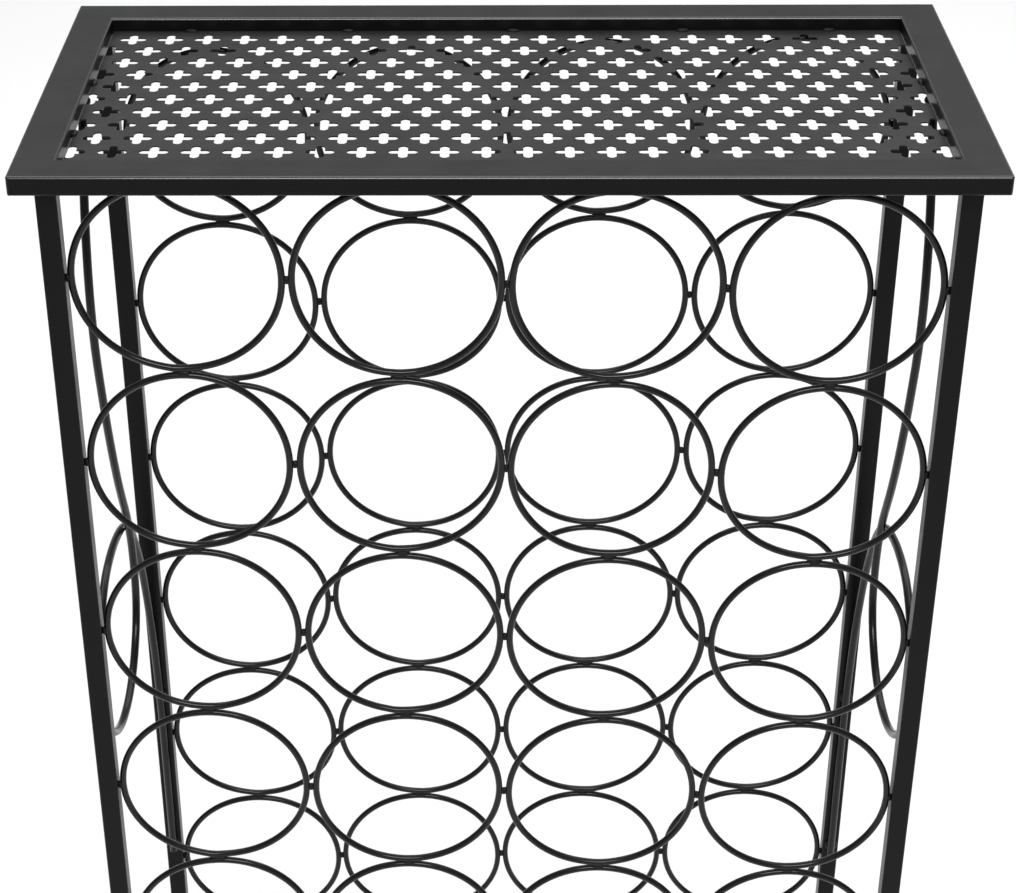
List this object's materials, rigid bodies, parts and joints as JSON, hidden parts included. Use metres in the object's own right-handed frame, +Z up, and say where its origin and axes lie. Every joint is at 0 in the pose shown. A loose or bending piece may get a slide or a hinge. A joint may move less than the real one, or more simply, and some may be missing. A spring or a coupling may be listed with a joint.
{
  "type": "wine rack",
  "caption": "Free-standing steel wine rack with wire ring lattices front and rear, square tube legs, looped side bars and a small perforated table top.",
  "frame": {"origin": "middle of the footprint, on the floor, under the four feet", "axes": "+Z up, +X to the right seen from the front, +Y towards the back"},
  "size_m": [0.45, 0.22, 0.82],
  "materials": {
    "black_powder_coat": "satin black powder coat with a fine texture",
    "coated_weld": "weld beads under the same black powder coat",
    "black_sheet": "punched steel sheet in the same black powder coat, a little glossier",
    "foot_plastic": "moulded black plastic"
  },
  "bodies": {
    "root": {"bottom_stretcher_left": "black_powder_coat", "bottom_stretcher_right": "black_powder_coat", "foot_cap_front_left": "foot_plastic", "foot_cap_front_right": "foot_plastic", "foot_cap_rear_left": "foot_plastic", "foot_cap_rear_right": "foot_plastic", "front_ring_leg_welds": "coated_weld", "front_ring_rail_weld": "coated_weld", "front_ring_row_welds": "coated_weld", "front_ring_side_welds": "coated_weld", "front_rings_row_1": "black_powder_coat", "front_rings_row_2": "black_powder_coat", "front_rings_row_3": "black_powder_coat", "front_rings_row_4": "black_powder_coat", "front_rings_row_5": "black_powder_coat", "front_rings_row_6": "black_powder_coat", "front_rings_row_7": "black_powder_coat", "leg_front_left": "black_powder_coat", "leg_front_right": "black_powder_coat", "leg_rear_left": "black_powder_coat", "leg_rear_right": "black_powder_coat", "perforated_sheet": "black_sheet", "rear_ring_leg_welds": "coated_weld", "rear_ring_rail_weld": "coated_weld", "rear_ring_row_welds": "coated_weld", "rear_ring_side_welds": "coated_weld", "rear_rings_row_1": "black_powder_coat", "rear_rings_row_2": "black_powder_coat", "rear_rings_row_3": "black_powder_coat", "rear_rings_row_4": "black_powder_coat", "rear_rings_row_5": "black_powder_coat", "rear_rings_row_6": "black_powder_coat", "rear_rings_row_7": "black_powder_coat", "sheet_tack_welds": "coated_weld", "side_scroll_left": "black_powder_coat", "side_scroll_right": "black_powder_coat", "side_scroll_welds_left": "coated_weld", "side_scroll_welds_right": "coated_weld", "top_rail_back": "black_powder_coat", "top_rail_front": "black_powder_coat", "top_rail_left": "black_powder_coat", "top_rail_right": "black_powder_coat"}
  },
  "joints": []
}
